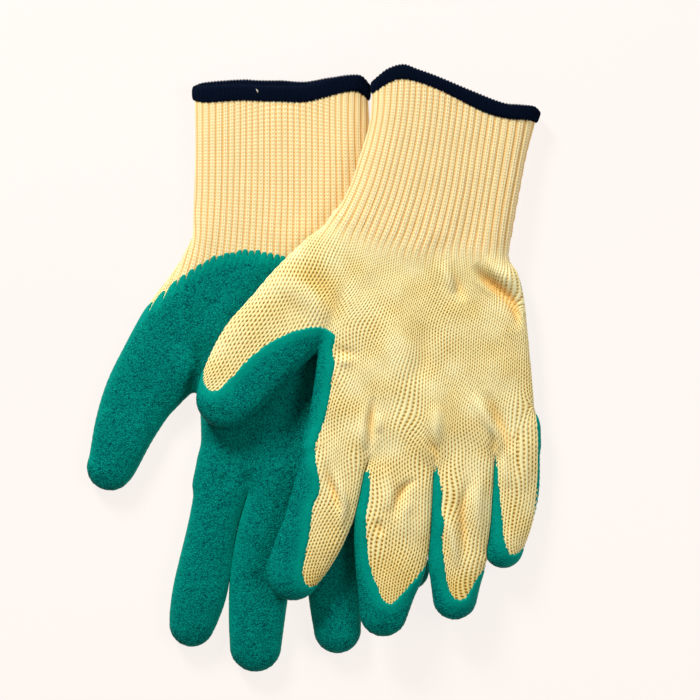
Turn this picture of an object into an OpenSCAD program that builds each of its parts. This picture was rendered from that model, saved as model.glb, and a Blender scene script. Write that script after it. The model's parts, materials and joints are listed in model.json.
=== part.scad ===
// Pair of knitted gardening gloves with a dipped latex palm, laid one on the other.
// The right-hand glove lies on the floor with its palm up.  The left-hand glove
// lies over its palm with the back up, and its free side slopes down to the floor.
// Each glove is a hollow knitted shell, open at the cuff, under a thin latex coat.
// Frame: millimetres, +Z up, floor at z = 0, fingers towards -Y, thumbs towards -X,
// origin at the bottom centre of the pair.

/* [Knitted liner] */
// Thickness of the knitted wall
knit_t = 1.4; // [1:0.1:1.8]
// Thickness of a glove lying flat, over its knitted faces
flat_h = 9.2; // [8.6:0.1:11]

/* [Latex coat] */
// Thickness of the coat over the knit
coat_t = 0.9; // [0.6:0.1:1.2]
// Share of a digit's thickness that the coat wraps, from the palm face
coat_wrap = 0.6; // [0.3:0.05:0.9]
// Length of each digit's tip that the coat covers on every side
tip_cap = 14; // [11:1:20]
// Radius of the coat's edge across the wrist
coat_edge_r = 76; // [74:1:78]

/* [Cuff hem] */
// Depth of the overlocked hem, from the mouth of the cuff
hem_d = 6.5; // [5:0.5:9]
// Thickness of the hem's binding thread
binding_t = 0.4; // [0.2:0.1:0.6]
// Thickness of the elastic under the binding
elastic_t = 0.5; // [0.3:0.1:0.8]
// Width of the elastic
elastic_w = 4; // [3:0.5:4.5]

/* [Right glove digits: root width, tip width, length] */
// Right thumb
right_thumb = [35, 21, 62]; // [15:0.5:90]
// Right index finger
right_index = [24.5, 20.5, 71.5]; // [15:0.5:90]
// Right middle finger
right_middle = [25, 23.5, 82]; // [15:0.5:90]
// Right ring finger
right_ring = [23, 21, 74.5]; // [15:0.5:90]
// Right little finger
right_little = [20, 19, 53.5]; // [15:0.5:90]

/* [Left glove digits: root width, tip width, length] */
// Left thumb
left_thumb = [37, 29, 56]; // [15:0.5:90]
// Left index finger
left_index = [28.5, 23, 68]; // [15:0.5:90]
// Left middle finger
left_middle = [29, 25, 79]; // [15:0.5:90]
// Left ring finger
left_ring = [26.5, 22, 73]; // [15:0.5:90]
// Left little finger
left_little = [20.5, 18, 51.5]; // [15:0.5:90]

/* [Lay of the pair] */
// Clearance between the two gloves, and between the left glove and the floor
lay_gap = 0.4; // [0.3:0.1:1]
// Clearance round the root of each digit, where it bends
root_gap = 0.8; // [0.6:0.1:1.2]
// Place across the pair where the left glove starts to slope down
bend_x = 46; // [44:1:50]
// Place across the pair where the left glove meets the floor
floor_x = 105; // [100:1:110]

/* [Hidden] */
$fn = 64;
// Rows of a digit's entry: root centre, swing from -Y towards -X, size
ROOT = 0;
SWING = 1;
SIZE = 2;
RIGHT = [
    [[-70.6, 1.8], 29, right_thumb],
    [[-43.6, -55.7], 9.4, right_index],
    [[-18.3, -57.5], 6, right_middle],
    [[6.5, -56], -5, right_ring],
    [[29, -50], -17.8, right_little]
];
LEFT = [
    [[-12.3, 19.8], 38.3, left_thumb],
    [[10, -41], 17.5, left_index],
    [[39.8, -43], 5.3, left_middle],
    [[68.7, -41.5], 3.8, left_ring],
    [[93.2, -39.5], 3.8, left_little]
];
THUMB = 0;
INDEX = 1;
MIDDLE = 2;
RING = 3;
LITTLE = 4;

// Outlines in plan, clockwise from the left end of the wrist
RIGHT_WRIST = [[-56.5, 61], [27, 61]];
LEFT_WRIST = [[7.5, 71], [90, 52.5]];
RIGHT_MOUTH = [[-56, 127.5], [25.5, 128.5]];
LEFT_MOUTH = [[26, 131], [43, 139], [72, 128], [103, 117.5]];
// Side of each hand beyond the little finger, then the side between index and thumb
RIGHT_OUTER_SIDE = [[33, 35], [40, 0], [41, -30]];
RIGHT_INNER_SIDE = [[-53.2, -38], [-53.2, -17]];
RIGHT_THUMB_SIDE = [[-77, 27.3], [-58, 49]];
LEFT_OUTER_SIDE = [[93.6, 43.8], [98, 15], [102, -12]];
LEFT_INNER_SIDE = [[-1, -14]];
LEFT_THUMB_SIDE = [[-3.2, 60.3]];
RIGHT_CUFF = [RIGHT_WRIST[0], each RIGHT_MOUTH, RIGHT_WRIST[1]];
LEFT_CUFF_SIDE = [[17.5, 87], [24, 108]];
LEFT_CUFF_OUTER_SIDE = [[94, 80]];
// Centre of the round edge of each coat
RIGHT_COAT_AT = [-25, -22];
LEFT_COAT_AT = [38, -10];

cuff_h = flat_h - 2 * binding_t;
cavity_h = flat_h - 2 * knit_t;
lift_z = flat_h + coat_t + lay_gap;
left_z = lift_z + coat_t;
slope = atan((lift_z - lay_gap) / (floor_x - bend_x));
// Larger than the pair, for prisms that are trimmed to it
far = 200;
// Overlap of a cut past the face it opens
cut = 1;
// Step from a hand's cavity down to the way into each digit
way_step = 0.3;

function side_dir(d) = [cos(d[SWING]), -sin(d[SWING])];
function root_end(d, side) = d[ROOT] + side * d[SIZE][0] / 2 * side_dir(d);
// Point between the roots of two neighbouring digits, on the hand's side of both
function crotch(a, b) =
    let(p = root_end(a, 1), q = root_end(b, -1))
    [(p[0] + q[0]) / 2, max(p[1], q[1])];
function knuckles(digits) = [
    root_end(digits[LITTLE], 1),
    crotch(digits[RING], digits[LITTLE]),
    crotch(digits[MIDDLE], digits[RING]),
    crotch(digits[INDEX], digits[MIDDLE]),
    root_end(digits[INDEX], -1)
];
function hand_outline(digits, wrist, outer_side, inner_side, thumb_side) = [
    each wrist, each outer_side, each knuckles(digits), each inner_side,
    root_end(digits[THUMB], 1), root_end(digits[THUMB], -1), each thumb_side
];
RIGHT_HAND = hand_outline(RIGHT, RIGHT_WRIST, RIGHT_OUTER_SIDE, RIGHT_INNER_SIDE,
    RIGHT_THUMB_SIDE);
LEFT_HAND = hand_outline(LEFT, LEFT_WRIST, LEFT_OUTER_SIDE, LEFT_INNER_SIDE,
    LEFT_THUMB_SIDE);
// The left cuff is a body of its own, so it stands clear of the hand
left_cuff_dir = [-(LEFT_WRIST[1] - LEFT_WRIST[0])[1], (LEFT_WRIST[1] - LEFT_WRIST[0])[0]]
    / norm(LEFT_WRIST[1] - LEFT_WRIST[0]);
LEFT_CUFF = [
    LEFT_WRIST[0] + root_gap * left_cuff_dir, each LEFT_CUFF_SIDE, each LEFT_MOUTH,
    each LEFT_CUFF_OUTER_SIDE, LEFT_WRIST[1] + root_gap * left_cuff_dir
];
// Edges of each outline that stay open: edge i runs from point i to point i + 1
HAND_OPEN = [0];
RIGHT_CUFF_OPEN = [1, 3];
LEFT_CUFF_OPEN = [3, 4, 5, 8];

// Normal of edge i of a clockwise outline, pointing inwards
function inward(pts, i) =
    let(n = len(pts), e = pts[(i + 1) % n] - pts[i % n])
    [e[1], -e[0]] / norm(e);
// A clockwise outline moved inwards by t, with its open edges pushed out instead
function inset(pts, t, open = []) = [
    for (i = [0:len(pts) - 1])
        let(
            before = (i + len(pts) - 1) % len(pts),
            n1 = inward(pts, before),
            n2 = inward(pts, i),
            t1 = len(search(before, open)) > 0 ? -cut : t,
            t2 = len(search(i, open)) > 0 ? -cut : t,
            c = n1 * n2
        )
        pts[i] + (t1 * (n1 - c * n2) + t2 * (n2 - c * n1)) / (1 - c * c)
];
// The strip of a cuff from one depth below its mouth to another
function strip(mouth, axis, from, to) =
    let(
        n = len(mouth),
        across = (mouth[n - 1] - mouth[0]) / norm(mouth[n - 1] - mouth[0]),
        line = [mouth[0] - 9 * across, each mouth, mouth[n - 1] + 9 * across]
    )
    [
        for (p = line) p - from * axis,
        for (i = [n + 1:-1:0]) line[i] - to * axis
    ];

// A flat layer between two heights, the full size of the pair
module flat_band(z1, z2) {
    translate([-far, -far, z1]) cube([2 * far, 2 * far, z2 - z1]);
}

// A layer between two heights that turns down at bend_x and runs to the floor
module sloped_band(z1, z2) {
    miter = tan(slope / 2);
    reach = far / cos(slope);
    points = [
        for (z = [z1, z2])
            let(rise = z - lift_z)
            [
                [-far, z],
                [bend_x + rise * miter, z],
                [
                    bend_x + reach * cos(slope) + rise * sin(slope),
                    lift_z - reach * sin(slope) + rise * cos(slope)
                ]
            ]
    ];
    translate([0, far, 0]) rotate([90, 0, 0]) linear_extrude(2 * far)
        polygon([each points[0], points[1][2], points[1][1], points[1][0]]);
}

module band(z1, z2, sloped) {
    if (sloped) sloped_band(z1, z2);
    else flat_band(z1, z2);
}

module prism(outline) {
    translate([0, 0, -far / 2]) linear_extrude(far) polygon(outline);
}

// A layer of a glove: a plan outline between two heights
module layer(outline, z1, z2, sloped) {
    intersection() {
        prism(outline);
        band(z1, z2, sloped);
    }
}

// Puts a digit drawn along +Y, with its palm up, where it lies on the right glove
module right_place(d) {
    translate([d[ROOT][0], d[ROOT][1], 0]) rotate(180 - d[SWING]) children();
}

// The same on the left glove, palm down, and turned down with the slope beyond the bend
module left_place(d) {
    tilt = d[ROOT][0] > bend_x ? slope : 0;
    translate([bend_x, 0, lift_z]) rotate([0, tilt, 0]) translate([-bend_x, 0, -lift_z])
        translate([d[ROOT][0], d[ROOT][1], left_z]) rotate(180 - d[SWING])
            translate([0, 0, flat_h]) mirror([0, 0, 1]) children();
}

// Plan of a digit, trimmed all round: straight tapering sides and a round tip
module digit_plan(size, trim, start) {
    root_r = size[0] / 2 - trim;
    tip_r = size[1] / 2 - trim;
    neck = size[2] - size[1] / 2;
    start_r = root_r + (tip_r - root_r) * start / neck;
    polygon([[-start_r, start], [start_r, start], [tip_r, neck], [-tip_r, neck]]);
    translate([0, neck]) circle(r = tip_r);
}

module digit_liner(d) {
    difference() {
        linear_extrude(flat_h) digit_plan(d[SIZE], coat_t, root_gap);
        translate([0, 0, knit_t]) linear_extrude(cavity_h)
            digit_plan(d[SIZE], coat_t + knit_t, root_gap - cut);
    }
}

module digit_coat(d) {
    coat_z = flat_h * (1 - coat_wrap);
    difference() {
        union() {
            translate([0, 0, coat_z]) linear_extrude(flat_h + coat_t - coat_z)
                digit_plan(d[SIZE], 0, root_gap);
            intersection() {
                linear_extrude(flat_h + coat_t) digit_plan(d[SIZE], 0, root_gap);
                translate([-far / 2, d[SIZE][2] - tip_cap, 0]) cube([far, far, far]);
            }
        }
        translate([0, 0, -cut]) linear_extrude(flat_h + cut)
            digit_plan(d[SIZE], coat_t, root_gap - cut);
    }
}

// The way from the hand's cavity into a digit, a little lower than the cavity
module digit_way(d) {
    way_w = d[SIZE][0] - 2 * (coat_t + knit_t) - 2 * way_step;
    way_d = 4 * knit_t;
    translate([-way_w / 2, -way_d, knit_t + way_step])
        cube([way_w, way_d + 4, cavity_h - 2 * way_step]);
}

// Knitted shell of a hand, open to the cuff and to each digit
module hand_liner(outline, z, sloped) {
    difference() {
        layer(outline, z, z + flat_h, sloped);
        layer(inset(outline, knit_t, HAND_OPEN), z + knit_t, z + flat_h - knit_t, sloped);
        children();
    }
}

// Latex over the palm face, with a round edge below the wrist
module hand_coat(outline, z, sloped, at) {
    intersection() {
        layer(outline, z, z + coat_t, sloped);
        translate([at[0], at[1], -far / 2]) cylinder(r = coat_edge_r, h = far, $fn = 96);
    }
}

// A cuff trimmed all round its wall, but run past its open ends
module cuff_layer(outline, open, z, trim, sloped) {
    layer(inset(outline, trim, open), z + trim, z + cuff_h - trim, sloped);
}

// A closed ring round a cuff, between two depths below its mouth
module cuff_ring(outline, open, z, outer, inner, mouth, axis, from, to, sloped) {
    difference() {
        intersection() {
            cuff_layer(outline, open, z, outer, sloped);
            prism(strip(mouth, axis, from, to));
        }
        cuff_layer(outline, open, z, inner, sloped);
    }
}

module cuff_elastic(outline, open, z, mouth, axis, sloped) {
    edge = (hem_d - elastic_w) / 2;
    cuff_ring(outline, open, z, 0, elastic_t, mouth, axis, edge, edge + elastic_w, sloped);
}

module cuff_binding(outline, open, z, mouth, axis, sloped) {
    cuff_ring(outline, open, z, -binding_t, 0, mouth, axis, 0, hem_d, sloped);
}

// Ribbed tube of the cuff, with a shallow seat round it for the elastic
module cuff_knit(outline, open, z, mouth, axis, sloped) {
    difference() {
        layer(outline, z, z + cuff_h, sloped);
        cuff_layer(outline, open, z, knit_t, sloped);
        cuff_elastic(outline, open, z, mouth, axis, sloped);
    }
}

RIGHT_AXIS = [0, 1];
LEFT_AXIS = left_cuff_dir;
right_cuff_z = binding_t;
left_cuff_z = left_z + binding_t;

module right_cuff_knit() {
    color("khaki")
        cuff_knit(RIGHT_CUFF, RIGHT_CUFF_OPEN, right_cuff_z, RIGHT_MOUTH, RIGHT_AXIS, false);
}

module right_cuff_binding() {
    color("midnightblue")
        cuff_binding(RIGHT_CUFF, RIGHT_CUFF_OPEN, right_cuff_z, RIGHT_MOUTH, RIGHT_AXIS, false);
}

module right_cuff_elastic() {
    color("white")
        cuff_elastic(RIGHT_CUFF, RIGHT_CUFF_OPEN, right_cuff_z, RIGHT_MOUTH, RIGHT_AXIS, false);
}

module right_hand_liner() {
    color("khaki") hand_liner(RIGHT_HAND, 0, false)
        for (d = RIGHT) right_place(d) digit_way(d);
}

module right_hand_coat() {
    color("teal") hand_coat(RIGHT_HAND, flat_h, false, RIGHT_COAT_AT);
}

module right_digit_liner(i) {
    color("khaki") right_place(RIGHT[i]) digit_liner(RIGHT[i]);
}

module right_digit_coat(i) {
    color("teal") right_place(RIGHT[i]) digit_coat(RIGHT[i]);
}

module left_cuff_knit() {
    color("khaki")
        cuff_knit(LEFT_CUFF, LEFT_CUFF_OPEN, left_cuff_z, LEFT_MOUTH, LEFT_AXIS, true);
}

module left_cuff_binding() {
    color("midnightblue")
        cuff_binding(LEFT_CUFF, LEFT_CUFF_OPEN, left_cuff_z, LEFT_MOUTH, LEFT_AXIS, true);
}

module left_cuff_elastic() {
    color("white")
        cuff_elastic(LEFT_CUFF, LEFT_CUFF_OPEN, left_cuff_z, LEFT_MOUTH, LEFT_AXIS, true);
}

module left_hand_liner() {
    color("khaki") hand_liner(LEFT_HAND, left_z, true)
        for (d = LEFT) left_place(d) digit_way(d);
}

module left_hand_coat() {
    color("teal") hand_coat(LEFT_HAND, lift_z, true, LEFT_COAT_AT);
}

module left_digit_liner(i) {
    color("khaki") left_place(LEFT[i]) digit_liner(LEFT[i]);
}

module left_digit_coat(i) {
    color("teal") left_place(LEFT[i]) digit_coat(LEFT[i]);
}

right_cuff_knit();
right_cuff_binding();
right_cuff_elastic();
right_hand_liner();
right_hand_coat();
right_digit_liner(THUMB);  // right_thumb_liner
right_digit_coat(THUMB);  // right_thumb_coat
right_digit_liner(INDEX);  // right_index_liner
right_digit_coat(INDEX);  // right_index_coat
right_digit_liner(MIDDLE);  // right_middle_liner
right_digit_coat(MIDDLE);  // right_middle_coat
right_digit_liner(RING);  // right_ring_liner
right_digit_coat(RING);  // right_ring_coat
right_digit_liner(LITTLE);  // right_little_liner
right_digit_coat(LITTLE);  // right_little_coat
left_cuff_knit();
left_cuff_binding();
left_cuff_elastic();
left_hand_liner();
left_hand_coat();
left_digit_liner(THUMB);  // left_thumb_liner
left_digit_coat(THUMB);  // left_thumb_coat
left_digit_liner(INDEX);  // left_index_liner
left_digit_coat(INDEX);  // left_index_coat
left_digit_liner(MIDDLE);  // left_middle_liner
left_digit_coat(MIDDLE);  // left_middle_coat
left_digit_liner(RING);  // left_ring_liner
left_digit_coat(RING);  // left_ring_coat
left_digit_liner(LITTLE);  // left_little_liner
left_digit_coat(LITTLE);  // left_little_coat
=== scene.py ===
"""Looks of the pair of knitted gardening gloves with dipped latex palms.

Each glove is one smooth surface, found from its outline in plan and its thickness, and cut
into the CAD part's pieces: cuff, hand and five digits, each in knit and in latex.  Lengths
are in millimetres until a mesh is made, and the frame is the CAD's.
"""

import itertools
import json
import math
from functools import partialmethod

import bpy
import numpy as np
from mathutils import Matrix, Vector


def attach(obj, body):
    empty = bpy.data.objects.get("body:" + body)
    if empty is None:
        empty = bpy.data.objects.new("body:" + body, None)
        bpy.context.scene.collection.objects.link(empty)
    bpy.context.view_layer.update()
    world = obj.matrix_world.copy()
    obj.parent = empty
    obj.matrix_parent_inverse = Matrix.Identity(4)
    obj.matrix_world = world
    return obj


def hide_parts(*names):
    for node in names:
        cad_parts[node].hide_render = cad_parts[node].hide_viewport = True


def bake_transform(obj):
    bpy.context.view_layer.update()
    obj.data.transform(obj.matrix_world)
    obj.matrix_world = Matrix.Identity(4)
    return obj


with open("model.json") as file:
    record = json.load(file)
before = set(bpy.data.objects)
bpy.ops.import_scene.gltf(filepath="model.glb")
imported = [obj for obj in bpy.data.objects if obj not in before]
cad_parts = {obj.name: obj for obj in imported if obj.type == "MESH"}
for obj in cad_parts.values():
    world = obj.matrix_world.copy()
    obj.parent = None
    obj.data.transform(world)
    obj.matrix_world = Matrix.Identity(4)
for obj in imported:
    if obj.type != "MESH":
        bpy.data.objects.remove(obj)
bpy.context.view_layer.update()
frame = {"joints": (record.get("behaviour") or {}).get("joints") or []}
JOINTS = {j["name"]: j for j in frame["joints"]}
MM = 0.001

# Grid of the surface, and of the knit's lines
STEP = 0.4
LINE_STEP = 1.25
# Half of a glove's thickness as it lies flat, and its middle's height over the table
HALF = 4.6
BASE = {"right": 4.7, "left": 16.0}
# Distance from its side over which a glove reaches its full thickness, and the roundness
EDGE = 13.0
POWER = 2.3
# The left glove sags to the table past this x: where, over what length, and the slope
SAG_START = 46
SAG_LENGTH = 6
SAG_SLOPE = math.tan(math.radians(9.72))
DIGITS = ("thumb", "index", "middle", "ring", "little")
# How far the surface lies inside the outlines
INSET = 0.35
# Distance of a digit's root past its hinge
ROOT_PAST = 0.4
# Length of the latex over a digit's tip, and the distance along one where there is no digit
CAP_LENGTH = 12.5
NO_DIGIT = -50.0
# Length of a course in the cuff
COURSE = 1.55
# Wales counted across the hand to each side of the digits, and to each side of the cuff
SIDE_WALES = (0.0, 20.5, 37.0, 54.5, 69.0, 80.5)
CUFF_WALES = (7.0, 77.0)
# Wales to each of the cuff's ribs, and the y where the ribs start
RIB_WALES = 70 / 30
RIB_START = {"right": 40, "left": 52}
# The hand's jersey is finer than the cuff: columns of holes to a wale, and rows to a course
COLUMNS = 1.4
ROWS = 1.4
# Middles of the cuff's mouth and of the wrist, and the y where the plan ends in the mouth
MOUTH = {"right": (-15, 140), "left": (66, 148)}
WRIST = {"right": (-15, 61), "left": (47, 61)}
MOUTH_TOP = {"right": 140, "left": 150}
# Line across the left wrist, and the left cuff's direction from there
LEFT_WRIST_LINE = ((7.5, 71), (90, 52.5))
# How far the knit and the lining stop below the rim, and the lining goes on past the wrist
KNIT_END = 3
LINING_END = 2
LINING_START = -14
# Height of the latex over the knit's mean surface, and its depth in the knit past its edge
COAT_OVER = 0.5
COAT_SUNK = 0.35
# How far the knit goes on under the latex, and the sunk latex past its edge
KNIT_UNDER = 1.6
COAT_PAST = 1.2
# Thickness of the cuffs' wall
WALL = 1.2
# Lowest height of the knit's mean surface, of a cuff's lining and of a hem
KNIT_LOWEST = 0.75
LINING_LOWEST = 0.6 + WALL
HEM_LOWEST = 0.05
# Width of a stitch of the hem's overlock, and of a strand of its thread
HEM_STITCH = 1.5
HEM_STRAND = 0.75
# The eight corners of a cube, and slices that pair a grid's points with the next along x or y
CORNERS = tuple(itertools.product((0, 1), repeat=3))
NEIGHBOURS = ((np.s_[:-1], np.s_[1:]), (np.s_[:, :-1], np.s_[:, 1:]))

# Half-width stations of each digit: distance from its root, offset to its right, half-width
RIGHT_DIGITS = {
    "thumb": ((-46, 3, 18.6), (-32, 0.6, 18.2), (-19, -0.6, 18.5), (0, -0.5, 18.5),
              (16, -1.9, 16.3), (32, -0.8, 14), (48, 2, 11.4), (52, 2.2, 10.6)),
    "index": ((-12, 0, 12.2), (0, 0.2, 12), (16, -0.7, 11.2), (44, -1.5, 12.4), (56, -2.3, 11.5),
              (62.5, -2.8, 10.2)),
    "middle": ((-12, 0, 12), (0, -0.4, 12.1), (16, -2, 13.3), (36, -2.9, 13.9), (56, -2.5, 12.9),
               (70, -1.7, 11.7)),
    "ring": ((-12, 0, 11.5), (0, 0, 11.5), (30, -0.6, 12.7), (48, -1.6, 12), (63.5, -1.8, 10.7)),
    "little": ((-12, 0, 10), (0, 0, 10), (20, 0, 10), (43.5, 0, 10)),
}
LEFT_DIGITS = {
    "thumb": ((-48, 3, 17.5), (-36, 0, 18), (-22, -1.5, 18.7), (-11, -2, 19.2), (0, -2, 19.5),
              (16, -3.4, 19), (32, -2.5, 16.8), (43, -1.4, 13.5)),
    "index": ((-12, 0, 15.2), (0, 0, 15.2), (12, 0.8, 15.8), (32, 0.5, 15), (44, -1.2, 14.2),
              (55, -3.2, 12.4)),
    "middle": ((-12, 0, 15.2), (0, -0.4, 15.6), (10, -1.2, 17.2), (22, -1.2, 17.8),
               (32, -1.1, 17.6), (44, -0.8, 16.3), (56, -1.5, 13.3), (68, -2.1, 10.8)),
    "ring": ((-12, 0, 13.5), (0, -0.2, 13.8), (12, -0.4, 14.6), (24, -0.2, 14.6),
             (36, -0.1, 14.4), (46, -1, 13.3), (54, -1.1, 11.6), (62.5, -1, 10.1)),
    "little": ((-12, -0.8, 10), (0, -0.6, 10.6), (16, -0.4, 11), (30, -1.4, 10.2),
               (42.5, -4, 9)),
}
# Outline of each hand and cuff without its digits, and past the cuff's mouth
RIGHT_BODY = (
    (-55.4, 156), (-55.4, 145), (-55.5, 132), (-55.6, 120), (-55.4, 100), (-56.5, 60),
    (-56, 30), (-52.9, -15), (-52.4, -40), (-54.4, -56), (-31, -57), (-6, -57.5), (18.5, -54),
    (38.5, -47), (41, -30), (40, 0), (33, 35), (27.5, 60), (26, 95), (25.4, 112), (24.8, 122),
    (24.6, 132), (24.8, 145), (25, 156),
)
LEFT_BODY = (
    (27.5, 166), (27, 156), (26.3, 146), (26, 137), (25.9, 125), (24.8, 112), (21, 99),
    (16.5, 85), (11.5, 75), (6.9, 68), (5, 40), (2, 10), (0, -6), (-3, -25), (-5.5, -38),
    (9, -43), (24.8, -42), (39, -46), (55, -46.5), (69, -46), (82.6, -41), (93, -42),
    (101.2, -37), (101.7, -30), (100.8, -14), (99.5, 1.6), (98.2, 15), (96.5, 31.4),
    (93.6, 43.8), (89.4, 50.7), (90.8, 61.7), (94, 79.6), (97.6, 98.4), (101.8, 114),
    (104.5, 124), (107, 134), (112, 150),
)
# Edge of the right palm's latex across the wrist, and of the left palm's
RIGHT_WRIST_EDGE = (
    (-95, 8), (-80, 24.5), (-69.3, 34.6), (-55.5, 45.2), (-45.4, 50.7), (-35.3, 52.7),
    (-29.8, 53.6), (-21.6, 52.1), (-14.2, 50.2), (0, 45), (20, 34), (45, 14),
)
LEFT_WRIST_EDGE = ((-60, 30), (-20, 46), (10, 60), (38, 66), (66, 60), (95, 40), (115, 15))
# Knitted part of the left glove's back: the latex shows outside this outline
LEFT_BACK = (
    (100.3, -4), (104, 6), (125, 20), (125, 170), (20, 170), (-60, 80), (-70, 30), (-54, 10),
    (-50.9, 0.6), (-50.8, -5.5), (-48.6, -9.2), (-46.2, -10.4), (-43.5, -9.6), (-39.8, -6.1),
    (-35.1, -1.4), (-30.4, 3.9), (-23.7, 9.3), (-17, 13.7), (-7.5, 17.4), (0.5, 18.9),
    (5.9, 17.7), (9.3, 14.4), (7.9, 8.7), (9.1, 2), (7.7, -5), (6.6, -13.5), (5.2, -20.3),
    (2.6, -28.2), (0.2, -35.8),
)
# Its tongue on each finger's back
LEFT_TONGUES = (
    ((0.6, -43), (2.1, -51), (1.9, -57.1), (-0.8, -62.4), (-2.2, -73.9), (-4.8, -87.5),
     (-5.5, -94.4), (-3.1, -99), (0, -99.1), (3, -96.4), (11.5, -84.5), (19, -69.7),
     (24.4, -52)),
    ((24.6, -46), (25, -56.4), (23.5, -64.7), (23.2, -70.8), (23.9, -82.2), (25.8, -92.9),
     (28.5, -99), (30.8, -105), (34.2, -107.2), (36.5, -106.2), (41.8, -100.5),
     (49, -92.1), (54, -84), (55.2, -66.2), (55.3, -48)),
    ((55.9, -46), (58, -57), (57.6, -64), (58.7, -70.1), (57.9, -77.7), (60.1, -96.7),
     (63.1, -104.3), (66.1, -105.4), (69.2, -104.3), (73.8, -96.7), (79, -88.3),
     (82.3, -70.1), (82.6, -44)),
    ((83, -42), (84.8, -60.9), (85.9, -70.8), (86.3, -77.7), (88.6, -84.5), (92, -85.1),
     (94.3, -83.7), (98.6, -78), (101.6, -62), (102.5, -44), (102.3, -30), (100.7, -14)),
)
# Rim and lower edge of each hem on the upper sheet, from left to right
RIGHT_RIM = (
    (-55.7, 128.5), (-52, 129.5), (-42.7, 130.1), (-32.7, 130.4), (-26.8, 129.9),
    (-17.4, 129.6), (-6.4, 129.8), (-0.5, 131), (4.1, 132.4), (11.8, 134.2), (19, 134.8),
    (22.2, 133.9), (25, 130.8),
)
RIGHT_HEM_FOOT = (
    (-55.6, 122.8), (-50.2, 122), (-35.8, 122.9), (-18, 122.4), (-4.6, 122.2), (5.4, 124.5),
    (11.8, 126.3), (18, 127.2), (21.5, 126), (24.5, 123.8),
)
LEFT_RIM = (
    (26.2, 131), (29.2, 133.6), (33.8, 136.8), (40.5, 138.5), (46.8, 136.4), (56, 133.2),
    (72.5, 126.5), (85.8, 121.6), (94, 120.8), (100.6, 120.2), (103.1, 118.4),
)
LEFT_HEM_FOOT = (
    (27, 125), (31.2, 128.6), (38.1, 131.6), (45.9, 130.8), (56, 127.3), (64.7, 123.2),
    (78, 116.9), (89, 114.2), (96, 113.9), (101.4, 113.4),
)
# How much further the under sheet's rim reaches, at the left, middle and right
RIGHT_UNDER_RIM = (2.3, 3.3, -0.8)
LEFT_UNDER_RIM = (-0.6, -1.2, -0.6)
# Folds of the upper sheets: points, half-width, height over the sheet (a valley is below 0)
LEFT_FOLDS = (
    (((72, 48), (76.5, 42), (83, 36), (89, 30.5), (93, 23.5), (95, 17)), 3.3, -4.2),
    (((69.5, 46.5), (75, 39.5), (83, 33.4), (89, 28), (92, 20)), 2.0, 1.8),
    (((77, 51), (84, 45), (91, 39), (95, 31)), 3.6, 1.8),
    (((61, 49), (64.2, 41), (66.3, 35), (68.5, 30)), 2.4, -1.6),
    (((57.5, 49), (61.4, 41), (63.6, 34)), 2.4, 1.3),
    (((71, -11), (75.2, -17), (79, -24), (83, -31), (86, -38)), 2.6, 1.9),
    (((76.8, -9), (82, -20), (87, -31), (90, -40)), 2.8, -1.7),
    (((27, -12), (26, -20), (25.6, -28), (25.2, -40)), 1.9, -1.8),
    (((22.5, -16), (22, -28), (23, -38)), 2.2, 1.2),
    (((29.5, -20), (29, -30)), 2.2, 0.9),
    (((54.8, -15), (55.6, -25), (56, -36)), 2.6, 1.3),
    (((51.5, -26), (53, -34), (55.4, -39), (55.4, -46)), 1.5, -1.2),
    (((80, -26), (82.3, -35), (82.6, -46)), 1.7, -1.3),
    (((4.5, -41), (7, -51), (10, -59), (11, -66)), 1.6, -1.7),
    (((8.6, -45), (12, -55), (13.5, -64), (11, -74)), 2.1, 1.5),
    (((47, -50), (41, -54), (37.6, -60), (37, -69)), 1.9, -1.8),
    (((32.5, -44), (33.5, -56), (34, -66)), 3.2, 1.2),
    (((44, -58), (41, -66), (41, -78)), 2.6, 0.9),
    (((28, -68), (31, -77)), 2.4, -1.0),
    (((71, -50), (67.4, -62), (68, -76), (69.4, -90)), 2.0, -1.7),
    (((59.5, -62), (63, -78), (65.5, -92)), 2.0, 1.4),
    (((76, -46), (74.5, -62), (76, -78)), 2.8, 1.2),
    (((83.6, -32), (86, -44), (89.5, -56)), 2.4, 1.3),
    (((95, -30), (97, -44), (95, -58)), 3.0, 0.8),
    (((9, 10), (14, 7.5), (22, 6.5)), 2.2, -0.7),
    (((9.5, 4), (18, 2.5)), 2.4, 0.8),
    (((30, 30), (38, 12), (40, -6)), 6.0, 0.8),
    (((48, 22), (50, 6), (46, -8)), 4.0, -0.8),
    (((-24, 44), (-6, 35), (8, 24)), 6.0, 1.4),
    (((-4, 46), (6, 34), (14, 20)), 4.0, -0.9),
)
RIGHT_FOLDS = (
    (((-62, 12), (-58, -2), (-54, -16)), 5.0, 1.2),
    (((-45, 22), (-40, 5), (-38, -20)), 8.0, 1.2),
    (((-60, 30), (-54, 14), (-48, -4), (-46, -16)), 3.2, -1.2),
    (((-43, -48), (-40, -56)), 3.0, -0.6),
    (((-31, -46), (-31, -56)), 2.4, -0.9),
    (((4, 10), (-3, -8), (-10, -28), (-13, -48)), 8.0, -2.8),
)
# Points that gather the left glove's wales: x, y, reach
LEFT_PUCKERS = ((25.6, -26, 8), (56, -30, 8), (82, -36, 7), (8, 22, 8))


def smooth_line(points, steps=6, closed=False):
    """Points of a Catmull-Rom curve through the given points."""
    p = np.array(points, float)
    if closed:
        p = np.vstack([p[-1], p, p[:2]])
    else:
        p = np.vstack([2 * p[0] - p[1], p, 2 * p[-1] - p[-2]])
    t = (np.arange(steps) / steps)[:, None]
    parts = []
    for a, b, c, d in zip(p, p[1:], p[2:], p[3:]):
        bend = (2 * a - 5 * b + 4 * c - d) * t + (3 * b - a - 3 * c + d) * t * t
        parts.append(b + 0.5 * t * (c - a + bend))
    if not closed:
        parts.append(p[-2:-1])
    return np.vstack(parts)


def smooth_step(x, low, high):
    """Rises smoothly from 0 at low to 1 at high."""
    t = np.clip((x - low) / (high - low), 0, 1)
    return t * t * (3 - 2 * t)


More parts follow.
